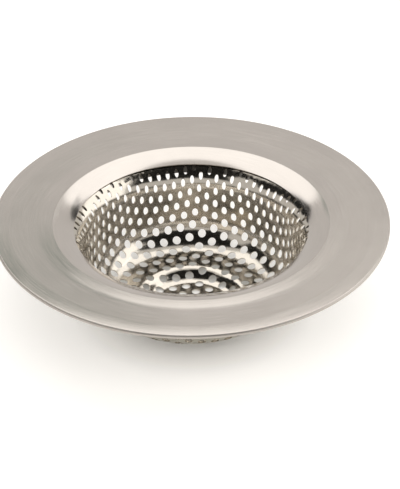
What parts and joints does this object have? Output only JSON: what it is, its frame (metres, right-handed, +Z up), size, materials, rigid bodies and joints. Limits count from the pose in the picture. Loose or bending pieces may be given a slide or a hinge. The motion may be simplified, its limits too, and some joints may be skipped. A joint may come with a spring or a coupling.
{
  "type": "sink strainer",
  "caption": "Sink strainer: a wide flat hemmed rim that curves down into a throat, and a perforated tapered basket with a sunken centre.",
  "frame": {"origin": "on the axis, at the underside of the basket's sunken centre, where the strainer stands on a flat surface", "axes": "+Z up along the axis, from the basket's floor to the rim; +Y away from the viewer of the picture and +X to the viewer's right"},
  "size_m": [0.1142, 0.1142, 0.0294],
  "materials": {
    "satin_steel": "satin, brushed round the axis",
    "plain_steel": "mill finish",
    "bright_steel": "bright, drawn from perforated sheet"
  },
  "bodies": {
    "root": {"rim_ring": "satin_steel", "back_ring": "plain_steel", "basket": "bright_steel"}
  },
  "joints": []
}
